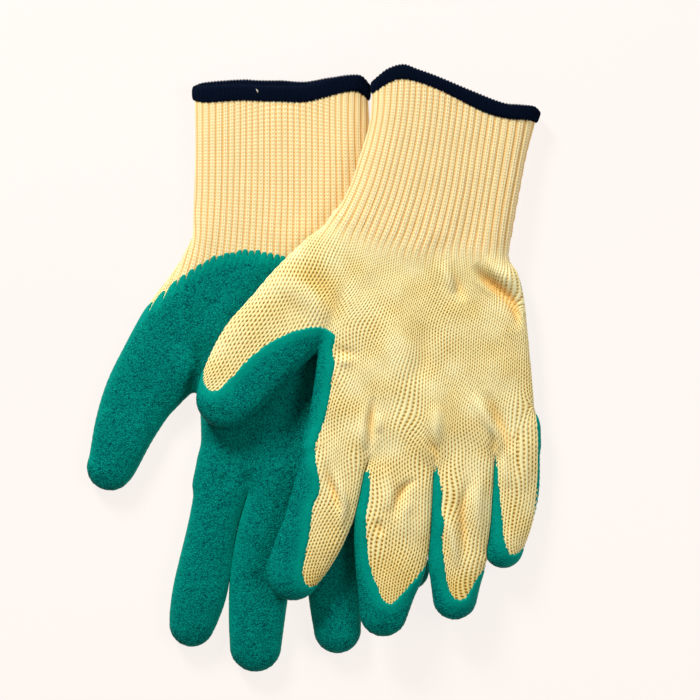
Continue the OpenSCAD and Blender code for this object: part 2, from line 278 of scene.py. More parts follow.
def beat(x):
    """A cosine with a period of one."""
    return np.cos(2 * math.pi * x)


def from_middle(x):
    """Distance from the middle of columns one wide: 0 there and 1 at their sides."""
    return np.abs(x % 1 - 0.5) * 2


def blend_min(a, b, k):
    """The smaller of two distances, with a fillet k wide where they cross."""
    h = np.maximum(k - np.abs(a - b), 0)
    return np.minimum(a, b) - h * h / (4 * k)


def segment_distance(x, y, a, b):
    """Distance of points from a segment, and how far along it the nearest point lies."""
    ex, ey = b[0] - a[0], b[1] - a[1]
    t = np.clip(((x - a[0]) * ex + (y - a[1]) * ey) / (ex * ex + ey * ey), 0, 1)
    return np.hypot(x - a[0] - t * ex, y - a[1] - t * ey), t


def outline_distance(x, y, points):
    """Signed distance from a closed outline, below 0 inside it."""
    best = np.full(x.shape, 1e3)
    inside = np.zeros(x.shape, bool)
    for a, b in zip(points, np.roll(points, -1, axis=0)):
        best = np.minimum(best, segment_distance(x, y, a, b)[0])
        rise = b[1] - a[1]
        if rise != 0:
            crosses = ((a[1] > y) != (b[1] > y)) & (x < (y - a[1]) * (b[0] - a[0]) / rise + a[0])
            inside ^= crosses
    return np.where(inside, -best, best)


def noise(x, y, z, seed):
    """Smooth value noise from -1 to 1, with a period of one unit."""
    size = 32
    table = np.random.default_rng(seed).uniform(-1, 1, (size, size, size))
    cell = [np.floor(a).astype(int) for a in (x, y, z)]
    part = [a - c for a, c in zip((x, y, z), cell)]
    part = [a * a * (3 - 2 * a) for a in part]
    total = np.zeros(np.shape(x))
    for i, j, k in CORNERS:
        w = (part[0] if i else 1 - part[0]) * (part[1] if j else 1 - part[1])
        w = w * (part[2] if k else 1 - part[2])
        corner = tuple((c + n) % size for c, n in zip(cell, (i, j, k)))
        total += w * table[corner]
    return total


class Grid:
    """A field over the plan, read between its points."""

    def __init__(self, low, high, step):
        self.low, self.step = low, step
        self.size = [int(math.ceil((b - a) / step)) + 1 for a, b in zip(low, high)]
        self.x, self.y = np.meshgrid(
            low[0] + step * np.arange(self.size[0]),
            low[1] + step * np.arange(self.size[1]), indexing="ij")

    def read(self, field, x, y):
        """The field's value at each point."""
        gx = np.clip((x - self.low[0]) / self.step, 0, self.size[0] - 1.001)
        gy = np.clip((y - self.low[1]) / self.step, 0, self.size[1] - 1.001)
        i, j = gx.astype(int), gy.astype(int)
        a, b = gx - i, gy - j
        near = field[i, j] * (1 - b) + field[i, j + 1] * b
        far = field[i + 1, j] * (1 - b) + field[i + 1, j + 1] * b
        return near * (1 - a) + far * a


def run_length(x, y):
    """Length along a line up to each of its points."""
    return np.concatenate([[0], np.cumsum(np.hypot(np.diff(x), np.diff(y)))])


def rolled_share(count=400):
    """Share of the way round the side, from its middle, at each angle of the side's curve."""
    angle = np.linspace(0, math.pi / 2, count)
    length = run_length(EDGE * np.cos(angle) ** (2 / POWER), HALF * np.sin(angle) ** (2 / POWER))
    return angle, length / length[-1]


ROLL_ANGLE, ROLL_SHARE = rolled_share()


def unrolled(z, depth, room):
    """Distance from the side at which a point of the rolled side lies in the flat knit."""
    near = (np.maximum(EDGE - depth, 0) / EDGE) ** (POWER / 2)
    angle = np.arctan2((np.abs(z) / HALF) ** (POWER / 2), near)
    share = np.interp(angle, ROLL_ANGLE, ROLL_SHARE)
    flat = (EDGE - room) / EDGE
    room_angle = np.arctan2((1 - flat ** POWER) ** 0.5, flat ** (POWER / 2))
    room_share = np.interp(room_angle, ROLL_ANGLE, ROLL_SHARE)
    return np.where(depth < room, room * np.minimum(share / room_share, 1), depth)


class Digit:
    """A digit's place in plan, from its hinge, and its outline's half-widths."""

    def __init__(self, side, name, stations):
        self.name = name
        joint = JOINTS[f"{side}_{name}_bend"]
        axis, pivot = joint["axis"], joint["pos_m"]
        self.tip_way = np.array([-axis[1], -math.sqrt(1 - axis[1] ** 2)])
        self.side_way = np.array([-self.tip_way[1], self.tip_way[0]])
        tilt = axis[2] / math.sqrt(1 - axis[1] ** 2)
        # The hinge's line tilts with the glove's middle, so its pivot is beside the root
        lean = np.array([HALF * tilt, 0])
        self.root = np.array(pivot[:2]) / MM - lean + ROOT_PAST * self.tip_way
        self.hinge = np.array(pivot)
        self.stations = smooth_line(stations, 5)
        self.tip = self.stations[-1, 0] + self.stations[-1, 2]

    def place(self, x, y):
        """Distance towards the tip from the root, and offset to the right."""
        dx, dy = x - self.root[0], y - self.root[1]
        along = dx * self.tip_way[0] + dy * self.tip_way[1]
        return along, dx * self.side_way[0] + dy * self.side_way[1]

    def distance(self, x, y):
        """Signed distance from the digit's outline."""
        s, c = self.place(x, y)
        best = np.full(x.shape, 1e3)
        for a, b in zip(self.stations, self.stations[1:]):
            away, t = segment_distance(s, c, a, b)
            best = np.minimum(best, away - a[2] - t * (b[2] - a[2]))
        return best

    def half_width(self, along):
        """Half of the digit's width at a distance from its root."""
        return np.interp(along, self.stations[:, 0], self.stations[:, 2])

    def centre(self, along):
        """Offset of the digit's middle at a distance from its root."""
        return np.interp(along, self.stations[:, 0], self.stations[:, 1])

    def zone(self, x, y):
        """Whether a point lies past the root, in the widening strip that the digit fills."""
        s, c = self.place(x, y)
        reach = self.half_width(0) + 1 + 0.6 * np.clip(s, 0, 40)
        return (s > 0) & (np.abs(c - self.centre(0)) < reach)


class Glove:
    """One glove's surface, its knit's lines and the edge of its latex."""

    def __init__(self, side, body, stations, low, high):
        self.side, self.base, self.rib_start = side, BASE[side], RIB_START[side]
        self.digits = [Digit(side, n, stations[n]) for n in DIGITS]
        self.body = smooth_line(body, 5, closed=True)
        self.grid = Grid(low, high, STEP)
        self.fields = self.plan(self.grid.x, self.grid.y)
        self.whole = np.min(self.fields, axis=0)
        self.lines = Grid(low, high, LINE_STEP)
        self.solve_lines()

    def drop(self, x):
        """How far the glove's middle lies below its flat part at x."""
        if self.side == "right":
            return 0 * x
        return np.logaddexp(0, (x - SAG_START) / SAG_LENGTH) * SAG_LENGTH * SAG_SLOPE

    def lift(self, x, y, z, depth):
        """Height that folds and sway add, the folds' part, and how far they reach at z."""
        upper = smooth_step(z / HALF, -0.3, 0.9)
        folds = LEFT_FOLDS if self.side == "left" else RIGHT_FOLDS
        sway = 0.7 * noise(x / 17, y / 21, 0.5, 3) + 0.3 * noise(x / 8, y / 9, 0, 4)
        fold = fold_height(x, y, folds) * smooth_step(depth, 0.5, 5)
        sway = sway * (1 - 0.6 * smooth_step(y, 60, 75))
        return (fold + sway) * upper, fold, upper

    def plan(self, x, y):
        """Distance from the outline of the body with each digit, trimmed between digits."""
        body = outline_distance(x, y, self.body)
        raw = [d.distance(x, y) for d in self.digits]
        fields = []
        for i, own in enumerate(raw):
            trimmed = own
            for j in (i - 1, i + 1):
                if 0 <= j < len(raw):
                    trimmed = np.maximum(trimmed, (own - raw[j] - INSET) / 2)
            fillet = 9 if self.side == "right" and i == 0 else 4
            fields.append(blend_min(body, trimmed, fillet) + INSET)
        self.body_field = body
        self.raw = raw
        return np.array(fields)

    def side_number(self, x, y):
        """How many digits' axes lie left of a point: 0 left of the thumb, 5 at the right."""
        count = np.zeros(x.shape, int)
        for d in self.digits:
            s, c = d.place(x, y)
            count += c > np.where(s > 0, d.centre(s), 0)
        return count

    def side_wales(self, x, y, number):
        """The wale at a point on the glove's side, where the cuff has fewer than the hand."""
        wales = np.take(SIDE_WALES, number)
        wales = np.where(number == 0, CUFF_WALES[0] * smooth_step(y, 25, 75), wales)
        right = SIDE_WALES[5] + (CUFF_WALES[1] - SIDE_WALES[5]) * smooth_step(y, -30, 70)
        return np.where(number == 5, right, wales)

    def solve_lines(self):
        """Wales and courses over the plan, as smooth fields between the sides and the ends."""
        g = self.lines
        fields = self.plan(g.x, g.y)
        field = np.min(fields, axis=0)
        label = np.argmin(fields, axis=0)
        label = np.where(self.body_field < -1, -1, label)
        inside = field < 0
        wales = self.side_wales(g.x, g.y, self.side_number(g.x, g.y))
        past = [d.place(g.x, g.y)[0] - d.stations[-1, 0] for d in self.digits]
        cap = np.zeros(inside.shape, bool)
        for i, s in enumerate(past):
            cap |= (s > 1) & (np.argmin(self.raw, axis=0) == i)
        mouth = g.y > MOUTH_TOP[self.side]
        anchor, pull, end, end_pull = np.zeros((4, *inside.shape))
        links = []
        for a, b in NEIGHBOURS:
            apart = (label[a] != label[b]) & (label[a] >= 0) & (label[b] >= 0)
            links.append((inside[a] & inside[b] & ~apart).astype(float))
            for here, there in ((a, b), (b, a)):
                out = inside[here] & ~inside[there]
                side = out & ~cap[there] & ~mouth[there]
                split = inside[here] & inside[there] & apart
                between = np.take(SIDE_WALES, np.maximum(label[here], label[there]).clip(0, 5))
                anchor[here] += side
                pull[here] += side * wales[there]
                anchor[here] += split
                pull[here] += split * between
                end[here] += out & mouth[there]
        for i, (d, s) in enumerate(zip(self.digits, past)):
            last = inside & (label == i) & (s > 2)
            end += last
            end_pull += last * (self.path_length(d) / COURSE + s / COURSE)
        self.wales = spread(inside, relax(inside, links, anchor, pull))
        self.courses = spread(inside, relax(inside, links, end, end_pull))

    def path_length(self, digit):
        """Length of the knit from the cuff's mouth to a digit's last station."""
        way = math.dist(MOUTH[self.side], WRIST[self.side])
        return way + math.dist(WRIST[self.side], digit.root) + digit.stations[-1, 0]


def relax(inside, links, anchor, pull, steps=900, enough=1e-10):
    """Solves for the smooth field held by its anchors, by conjugate gradients."""
    def apply(v):
        out = anchor * v
        for (a, b), w in zip(NEIGHBOURS, links):
            flow = w * (v[b] - v[a])
            out[a] -= flow
            out[b] += flow
        return np.where(inside, out, 0)
    degree = anchor + 1e-9
    for (a, b), w in zip(NEIGHBOURS, links):
        degree[a] += w
        degree[b] += w
    x = np.where(inside, pull.sum() / max(anchor.sum(), 1), 0)
    r = np.where(inside, pull, 0) - apply(x)
    z = r / degree
    p = z.copy()
    rz = (r * z).sum()
    for _ in range(steps):
        q = apply(p)
        step = rz / max((p * q).sum(), 1e-30)
        x += step * p
        r -= step * q
        z = r / degree
        new = (r * z).sum()
        if new < enough:
            break
        p = z + new / rz * p
        rz = new
    return x


def spread(inside, field, rings=4):
    """Carries a field a few steps past its edge."""
    field = np.where(inside, field, 0)
    known = inside
    for _ in range(rings):
        total, count = np.zeros((2, *field.shape))
        for shift in itertools.product((-1, 0, 1), repeat=2):
            shifted = np.roll(known, shift, (0, 1))
            total += shifted * np.roll(field, shift, (0, 1))
            count += shifted
        fresh = ~known & (count > 0)
        field = np.where(fresh, total / np.maximum(count, 1), field)
        known = known | fresh
    return field


def extract(g, field, window, half, margin=1.2):
    """Vertices and quads of the surface over a field, from half its thickness, and slopes."""
    i0, i1, j0, j1 = window
    d = field[i0:i1, j0:j1, None].astype(np.float32)
    count = int(2 * (half + margin) / g.step) + 2
    z = (np.arange(count) - (count - 1) / 2) * g.step
    tall = np.abs(z[None, None, :] * (EDGE / half)).astype(np.float32)
    level = (np.maximum(d + EDGE, 0) ** POWER + tall ** POWER) ** (1 / POWER) - EDGE
    points, quads = surface_net(level)
    origin = np.array([g.low[0] + i0 * g.step, g.low[1] + j0 * g.step, z[0]])
    points = origin + points * g.step
    sx, sy = np.gradient(field, g.step)
    scale = EDGE / half
    for _ in range(3):
        d, gx, gy = (g.read(f, points[:, 0], points[:, 1]) for f in (field, sx, sy))
        a = np.maximum(d + EDGE, 0)
        b = np.abs(points[:, 2] * scale)
        s = np.maximum(a ** POWER + b ** POWER, 1e-9)
        value = s ** (1 / POWER) - EDGE
        common = s ** (1 / POWER - 1)
        ga = common * a ** (POWER - 1)
        gz = common * b ** (POWER - 1) * scale * np.sign(points[:, 2])
        grad = np.stack([ga * gx, ga * gy, gz], 1)
        points -= grad * (value / np.maximum((grad ** 2).sum(1), 0.05))[:, None]
    return points, quads, (sx, sy)


def surface_net(level):
    """Vertices, in steps of the grid, and quads of a field's zero surface."""
    inside = level < 0
    shape = [n - 1 for n in level.shape]
    total = np.zeros(shape, np.int8)
    for i, j, k in CORNERS:
        total += inside[i:shape[0] + i, j:shape[1] + j, k:shape[2] + k]
    cell = (total > 0) & (total < 8)
    where = np.argwhere(cell)
    number = np.full(shape, -1, np.int64)
    number[cell] = np.arange(len(where))
    place = np.zeros((len(where), 3))
    hits = np.zeros(len(where))
    for axis in range(3):
        others = [n for n in range(3) if n != axis]
        for shift in itertools.product((0, 1), repeat=2):
            a = where.copy()
            a[:, others] += shift
            b = a.copy()
            b[:, axis] += 1
            va = level[tuple(a.T)]
            vb = level[tuple(b.T)]
            cross = (va < 0) != (vb < 0)
            t = np.where(cross, va / np.where(cross, va - vb, 1), 0)
            spot = a.astype(float)
            spot[:, axis] += t
            place[cross] += spot[cross]
            hits += cross
    place /= hits[:, None]
    quads = []
    for axis in range(3):
        u, v = (axis + 1) % 3, (axis + 2) % 3
        low = [slice(1, -1)] * 3
        high = [slice(1, -1)] * 3
        low[axis] = slice(0, -1)
        high[axis] = slice(1, None)
        start, stop = inside[tuple(low)], inside[tuple(high)]
        change = np.argwhere(start != stop)
        out = start[tuple(change.T)]
        corners = []
        for shift in ((0, 0), (1, 0), (1, 1), (0, 1)):
            c = change.copy()
            c[:, (u, v)] += shift
            corners.append(number[tuple(c.T)])
        quad = np.stack(corners, 1)
        quad[~out] = quad[~out][:, ::-1]
        quads.append(quad)
    return place, np.vstack(quads)


def mesh_normals(points, quads):
    """Normals of the vertices, from the faces round them."""
    a, b, c, d = (points[quads[:, k]] for k in range(4))
    face = np.cross(c - a, d - b)
    total = np.zeros(points.shape)
    for k in range(4):
        for axis in range(3):
            total[:, axis] += np.bincount(quads[:, k], face[:, axis], len(points))
    return total / np.maximum(np.linalg.norm(total, axis=1), 1e-12)[:, None]


def fold_height(x, y, folds):
    """Height of the folds of an upper sheet over its smooth shape."""
    height = np.zeros(x.shape)
    for points, width, rise in folds:
        line = smooth_line(points, 4)
        best = np.full(x.shape, 1e3)
        along = np.zeros(x.shape)
        for k, (a, b) in enumerate(zip(line, line[1:])):
            away, t = segment_distance(x, y, a, b)
            closer = away < best
            best = np.where(closer, away, best)
            along = np.where(closer, (k + t) / (len(line) - 1), along)
        swell = 1.15 * np.sin(math.pi * np.clip(along, 0.02, 0.98)) ** 1.2
        height += rise * swell * np.exp(-((best / width) ** 2))
    return height


def stitch_height(wales, courses, rib):
    """Height of the yarn over the knit's mean surface."""
    column = wales * COLUMNS
    across = from_middle(column)
    turn = 0.5 * (np.floor(column + 0.5) % 2)
    hole = across * (0.5 + 0.5 * beat(courses * ROWS + turn))
    jersey = 0.09 * np.cos(math.pi * across) - 0.12 * hole
    over = from_middle(wales / RIB_WALES)
    cord = 1 - smooth_step(over, 0.5, 0.95)
    plait = beat(courses + 0.5 * np.minimum(1.5 * over, 1))
    ribbed = 0.36 * cord - 0.24 + 0.06 * plait * cord
    return jersey * (1 - rib) + ribbed * rib


def quad_object(name, points, quads):
    """A smooth mesh object of quads, from points in millimetres."""
    mesh = bpy.data.meshes.new(name)
    mesh.vertices.add(len(points))
    mesh.vertices.foreach_set("co", (points * MM).ravel())
    mesh.loops.add(quads.size)
    mesh.loops.foreach_set("vertex_index", quads.ravel().astype(np.int32))
    mesh.polygons.add(len(quads))
    mesh.polygons.foreach_set("loop_start", np.arange(0, quads.size, 4, dtype=np.int32))
    mesh.update(calc_edges=True)
    mesh.polygons.foreach_set("use_smooth", np.ones(len(quads), bool))
    obj = bpy.data.objects.new(name, mesh)
    bpy.context.scene.collection.objects.link(obj)
    return obj


def compact(points, quads):
    """The points that quads use, the quads over them, and which points they were."""
    used, flat = np.unique(quads, return_inverse=True)
    return points[used], flat.reshape(-1, 4), used


def set_values(mesh, name, values, kind="FLOAT", field="value"):
    """Writes an attribute with one value to each vertex."""
    attribute = mesh.attributes.new(name, kind, "POINT")
    attribute.data.foreach_set(field, values.ravel().astype(np.float32))


def set_knit_lines(mesh, across, along):
    """Writes a UV map of wales and courses, one pair to each corner of the faces."""
    layer = mesh.uv_layers.new(name="knit")
    layer.data.foreach_set("uv", np.stack([across, along], -1).ravel().astype(np.float32))


class Skin:
    """A part of a glove's surface, with its knit's lines and the latex's edge on it."""

    def __init__(self, glove, field, window):
        g = glove.grid
        self.glove = glove
        self.flat, self.quads, slopes = extract(g, field, window, HALF)
        x, y, z = self.flat.T
        depth = np.clip(-g.read(field, x, y), 0, None)
        room = self.find_digits(x, y)
        slope = np.stack([g.read(s, x, y) for s in slopes])
        away = slope / np.maximum(np.hypot(*slope), 1e-3)
        self.draw_lines(x, y, z, depth, (unrolled(z, depth, room) - depth) * away)
        self.lay_down(x, y, z, depth)
        self.mask = self.coat_mask(x, y, z)
        self.knit_points, self.knit_normals = self.raised_knit()
        self.coat_points, self.coat_normals = self.raised_coat()
        self.open = self.hole_size(x, y)

    def find_digits(self, x, y):
        """Finds each point's digit and place along it, and gives the width of its rolled side."""
        glove = self.glove
        self.labels = np.argmin([glove.grid.read(f, x, y) for f in glove.fields], axis=0)
        self.cap = np.full(x.shape, NO_DIGIT)
        self.along = np.full(x.shape, NO_DIGIT)
        room = np.full(x.shape, EDGE)
        for i, digit in enumerate(glove.digits):
            s = digit.place(x, y)[0]
            own = self.labels == i
            half = np.minimum(digit.half_width(s), EDGE)
            room = np.where(own, EDGE + (half - EDGE) * smooth_step(s, -10, 8), room)
            self.cap = np.where(own, s - digit.tip + CAP_LENGTH, self.cap)
            self.along = np.where(own, s, self.along)
        return room

    def draw_lines(self, x, y, z, depth, shift):
        """Wales and courses at each point, which wander a little, and the share of rib."""
        glove = self.glove
        px, py = x - shift[0], y - shift[1]
        self.wales = glove.lines.read(glove.wales, px, py)
        self.courses = glove.lines.read(glove.courses, px, py)
        thumb_edge = 12 if glove.side == "left" else -46
        calm = (1 - 0.85 * smooth_step(thumb_edge - x, 0, 18)) * smooth_step(depth, 0, 12)
        calm = calm * (1 - 0.9 * smooth_step(y, glove.rib_start - 8, glove.rib_start + 12))
        self.wales += 2.1 * calm * noise(px / 17, py / 20, 0, 21)
        self.courses += 0.4 * calm * noise(px / 15, py / 17, 0, 22)
        for cx, cy, reach in LEFT_PUCKERS if glove.side == "left" else ():
            near = np.exp(-((px - cx) ** 2 + (py - cy) ** 2) / reach ** 2)
            self.wales += 0.2 * (px - cx) * near * (z > 0)
        rise = 11 * smooth_step(45 - x, 0, 42) if glove.side == "left" else 0
        start = glove.rib_start + rise + 1.5 * noise(x / 4, 0, 0, 12)
        self.rib = smooth_step(y - start, -8, 9)

    def lay_down(self, x, y, z, depth):
        """Mean surface as the glove lies, with its folds."""
        glove = self.glove
        lifted, fold, upper = glove.lift(x, y, z, depth)
        # Mask of painted shade: the fold valleys get an orange tint in the knit's colour, in place
        # of the shade that falls in them
        self.crease = smooth_step(-fold, 0.1, 3.2) ** 0.8 * upper
        self.ridge = smooth_step(fold, 0.1, 1.4) * upper
        self.rest = self.flat.copy()
        self.rest[:, 2] = np.maximum(z + glove.base - glove.drop(x) + lifted, KNIT_LOWEST)
        self.normals = mesh_normals(self.rest, self.quads)

    def coat_mask(self, x, y, z):
        """Distance inside the latex's edge, below 0 on bare knit."""
        right = self.glove.side == "right"
        edge = smooth_line(RIGHT_WRIST_EDGE if right else LEFT_WRIST_EDGE, 4)
        wrist = (np.interp(x, edge[:, 0], edge[:, 1]) - y) * 0.9
        if right:
            over = from_middle(self.wales / RIB_WALES)
            teeth = 1.1 - 3.6 * over ** 5 + 0.5 * noise(self.wales * 0.9, 0, 0, 11)
            palm = np.maximum(z + 2, self.cap)
            return np.minimum(palm, wrist + teeth * smooth_step(wrist, -3, -1))
        window = outline_distance(x, y, smooth_line(sum(LEFT_TONGUES, LEFT_BACK), 3, closed=True))
        for number, tongue in enumerate(LEFT_TONGUES[1:], 2):
            edge = np.array(tongue[:5])
            side = np.interp(-y, -edge[:, 1], edge[:, 0]) - x
            past = (self.labels == number) & (y < edge[0, 1] - 1)
            window = np.where(past, np.maximum(window, side), window)
        jag = 0.3 * beat(self.wales) * beat(self.courses)
        return np.minimum(wrist, np.maximum(window + jag, -2.2 * (z + 1)))

    def raised_knit(self):
        """The knit's surface with its stitches, sunk under the latex, and its normals."""
        height = stitch_height(self.wales, self.courses, self.rib)
        sunk = 0.25 * smooth_step(self.mask, 0.2, 1.2)
        points = self.rest + self.normals * (height - sunk)[:, None]
        return points, mesh_normals(points, self.quads)

    def raised_coat(self):
        """The latex's surface with its crinkle, and its normals."""
        x, y, z = self.rest.T
        wrinkle = np.abs(noise(x / 1.5, y / 1.5, z / 1.5, 7))
        wrinkle += 0.6 * np.abs(noise(x / 0.9, y / 0.9, z / 0.9, 8))
        rough = smooth_step(self.mask, 1.5, 7)
        self.rough = rough
        height = (COAT_OVER + COAT_SUNK) * smooth_step(self.mask, -0.9, 0.9) - COAT_SUNK
        height += 0.22 * (wrinkle - 0.55) * (0.25 + 0.75 * rough)
        points = self.rest + self.normals * height[:, None]
        return points, mesh_normals(points, self.quads)

    def hole_size(self, x, y):
        """How open the knit is, from 0 to 1."""
        size = 0.35 + 0.5 * smooth_step(self.along, 15, 70)
        if self.glove.side == "left":
            kink = np.exp(-(((x + 2) / 16) ** 2 + ((y - 38) / 14) ** 2))
            size = np.maximum(size, kink)
        size += 0.25 * noise(x / 9, y / 9, 0, 31)
        return size * (1 - 0.6 * self.rib) * (1 - 0.7 * self.ridge)

    def piece(self, name, keep, coat=False):
        """A mesh object of the kept faces, as far as the knit or the latex covers them."""
        points = self.coat_points if coat else self.knit_points
        normals = self.coat_normals if coat else self.knit_normals
        covered = self.mask > -COAT_PAST if coat else self.mask < KNIT_UNDER
        faces = self.quads[keep & covered[self.quads].any(axis=1)]
        points, faces, used = compact(points, faces)
        obj = quad_object(name, points, faces)
        mesh = obj.data
        corners = used[faces]
        set_knit_lines(mesh, self.wales[corners], self.courses[corners])
        for label in ("rib", "open", "rough", "crease"):
            set_values(mesh, label, getattr(self, label)[used])
        set_values(mesh, "rest", points * MM, "FLOAT_VECTOR", "vector")
        mesh.normals_split_custom_set_from_vertices(normals[used].astype(np.float32))
        return obj


# ---------------------------------------------------------------- materials
class Value:
    """A number in a shader: each operation on it adds a math node."""

    def __init__(self, nodes, socket):
        self.nodes, self.socket = nodes, socket

    def math(self, operation, *others):
        """The result of a math node on this value and the others."""
        return self.nodes.math(operation, self, *others)

    def __rsub__(self, other):
        return self.nodes.math("SUBTRACT", other, self)

    __add__ = partialmethod(math, "ADD")
    __sub__ = partialmethod(math, "SUBTRACT")
    __mul__ = partialmethod(math, "MULTIPLY")
    __truediv__ = partialmethod(math, "DIVIDE")
    __pow__ = partialmethod(math, "POWER")
    __abs__ = partialmethod(math, "ABSOLUTE")

    def clamp(self):
        """Holds this value between 0 and 1, at the node that gives it."""
        self.socket.node.use_clamp = True
        return self

    def from_middle(self):
        """Distance from the middle of columns one wide: 0 there and 1 at their sides."""
        return abs(self.math("FRACT") - 0.5) * 2

    def wave(self, kind="COSINE"):
        """A wave from 0 to 1 with a period of one."""
        return (self * (2 * math.pi)).math(kind) * 0.5 + 0.5


class Nodes:
    """A material's node tree, built with short calls."""

    def __init__(self, name):
        self.material = bpy.data.materials.new(name)
        self.material.use_nodes = True
        self.tree = self.material.node_tree
        self.shader = self.tree.nodes["Principled BSDF"]

    def add(self, kind, inputs=(), **settings):
        """A new node with its settings, and its inputs by name or number."""
        node = self.tree.nodes.new(kind)
        for key, value in settings.items():
            setattr(node, key, value)
        for key, value in dict(inputs).items():
            self.link(value, node.inputs[key])
        return node

    def link(self, value, socket):
        """Sets a socket to a number or a colour, or links it to a value or another socket."""
        if isinstance(value, (int, float)):
            socket.default_value = value
        elif isinstance(value, tuple):
            full = len(socket.default_value) == len(value)
            socket.default_value = value if full else (*value, 1)
        else:
            self.tree.links.new(value.socket if isinstance(value, Value) else value, socket)

    def math(self, operation, *inputs):
        """The result of a math node."""
        node = self.add("ShaderNodeMath", enumerate(inputs), operation=operation)
        return Value(self, node.outputs[0])

    def mix(self, factor, a, b):
        """Colour a where the factor is 0, and b where it is 1."""
        return self.add("ShaderNodeMix", {0: factor, 6: a, 7: b}, data_type="RGBA").outputs[2]

    def attribute(self, name, output="Fac"):
        """A value that the mesh keeps at its vertices."""
        node = self.add("ShaderNodeAttribute", attribute_name=name)
        return Value(self, node.outputs[output])

    def noise(self, vector, scale, detail=2, output="Fac"):
        node = self.add("ShaderNodeTexNoise", {"Vector": vector, "Scale": scale, "Detail": detail})
        return Value(self, node.outputs[output])

    def knit_lines(self):
        """The UV map of the knit, and its wales and courses apart."""
        uv = self.add("ShaderNodeUVMap", uv_map="knit").outputs[0]
        split = self.add("ShaderNodeSeparateXYZ", {0: uv})
        return uv, Value(self, split.outputs[0]), Value(self, split.outputs[1])

    def set(self, **values):
        """Sets the shader's inputs."""
        for key, value in values.items():
            self.link(value, self.shader.inputs[key.replace("_", " ")])

    def bump(self, height, distance, strength):
        """Bumps of the shader, with their distance in metres."""
        inputs = {"Height": height, "Distance": distance, "Strength": strength}
        self.set(Normal=self.add("ShaderNodeBump", inputs).outputs[0])


def srgb(r, g, b):
    """Linear colour of an sRGB colour given from 0 to 255."""
    return tuple(((c / 255 + 0.055) / 1.055) ** 2.4 if c > 10 else c / 255 / 12.92
                 for c in (r, g, b))


def rib_color(n, over, courses):
    """The cuff's ribs: wide chains of pale V stitches, with painted orange shade in the groove
    beside each.
    """
    beat = (courses * (2 * math.pi)).math("COSINE")
    # Painted shade: the recessed groove between ribs is coloured orange, darker at each course
    groove = ((over - (beat * 0.1 + 0.56)) * 2.6).clamp()
    groove = (groove * (beat * -0.4 + 0.75)).clamp()
    # Painted light and shade on the chain: lighter on each loop's crown, with dark orange dots of
    # shade between its legs
    loop = (courses + (over * 1.5).clamp() * 0.5).wave()
    chain = n.mix(loop ** 0.8, srgb(240, 212, 143), srgb(252, 243, 200))
    dot = (1 - over * 3.4).clamp() * (1 - loop)
    chain = n.mix((dot * 0.85).clamp(), chain, srgb(231, 174, 76))
    return n.mix(groove, chain, srgb(228, 162, 62))


def knit_material(name):
    """Yellow cotton: pale cords between columns of small holes, or the cuff's ribs."""
    n = Nodes(name)
    uv, wales, courses = n.knit_lines()
    opened = n.attribute("open")
    column = wales * COLUMNS
    across = column.from_middle()
    # Each column of holes is half a row off the next
    turn = ((column + 0.5).math("FLOOR") * 0.5).math("FRACT")
    loop = (courses * ROWS + turn).wave()
    gap = across ** 2.2 * loop ** 1.4 * (n.noise(uv, 0.9, 1) * 1.5 + 0.3)
    gap = (gap * (opened * 1.8 + 1.8) - 0.3).clamp()
    # The hole mask is both a dip in the bump and painted shade: the holes are coloured dark olive
    # for the shade seen through them
    hole = (gap * (opened * 1.2 + 0.45)).clamp()
    # Painted light and shade across each cord: lightest on its crown, darker orange at its sides;
    # the same mask shapes the bump
    cord_crown_height_and_light = 1 - (across ** 1.4 * (loop * 0.25 + (opened * 0.3 + 0.5))).clamp()
    cord = n.mix(opened, srgb(255, 253, 204), srgb(249, 227, 140))
    jersey = n.mix(hole, n.mix(cord_crown_height_and_light, srgb(232, 184, 72), cord), srgb(160, 112, 0))
    ribbed = rib_color(n, (wales / RIB_WALES).from_middle(), courses)
    color = n.mix(n.attribute("rib"), jersey, ribbed)
    # Painted shade: orange tint in the fold valleys
    color = n.mix(n.attribute("crease") * 0.62, color, srgb(244, 184, 78))
    fleck = ((n.noise(uv, 0.35, 3) - 0.45) * 0.5).clamp()
    color = n.mix(fleck, color, srgb(238, 196, 110))
    n.set(Base_Color=color, Roughness=0.85, Sheen_Weight=0.25, Sheen_Roughness=0.5,
          Specular_IOR_Level=0.2)
    n.bump(cord_crown_height_and_light * 0.6 + n.noise(uv, 9) * 0.15 - hole * 0.6, distance=0.0004, strength=0.6)
    return n.material


def latex_material(name):
    """Green latex with a crinkled skin, smoother near its edges."""
    n = Nodes(name)
    place, rough = n.attribute("rest", "Vector"), n.attribute("rough")
    # Cells and worm-like lines in a warped space make the crinkle's pits, which are painted dark
    # as the shade in them
    warp = n.noise(place, 900, 1, "Color")
    reach = (0.0009, 0.0009, 0.0009)
    warped = n.add("ShaderNodeVectorMath", {0: warp, 1: reach, 2: place},
                   operation="MULTIPLY_ADD").outputs[0]
    cells = n.add("ShaderNodeTexVoronoi", {"Vector": warped, "Scale": 1500, "Smoothness": 0.4},
                  feature="SMOOTH_F1")
    dimple = (Value(n, cells.outputs["Distance"]) * 1.25).clamp()
    worm = 1 - (abs(n.noise(warped, 1050, 1) - 0.5) * 11).clamp()
    # deep is painted shade in the crinkle's pits and worm lines, weaker on the smoother strips
    deep = ((dimple - 0.4) * 2.2).clamp().math("MAXIMUM", worm * 0.8)
    deep = deep * (n.noise(place, 330) * 0.9 + 0.4).clamp() * (rough * 0.75 + 0.25)
    base = n.mix(n.noise(place, 60), srgb(0, 136, 120), srgb(0, 158, 140))
    n.set(Base_Color=n.mix(deep, base, srgb(0, 68, 74)), Roughness=0.6,
          Specular_IOR_Level=0.07, Specular_Tint=srgb(120, 255, 225))
    n.bump(1 - dimple * (rough * 0.8 + 0.2), distance=0.00035, strength=0.7)
    return n.material


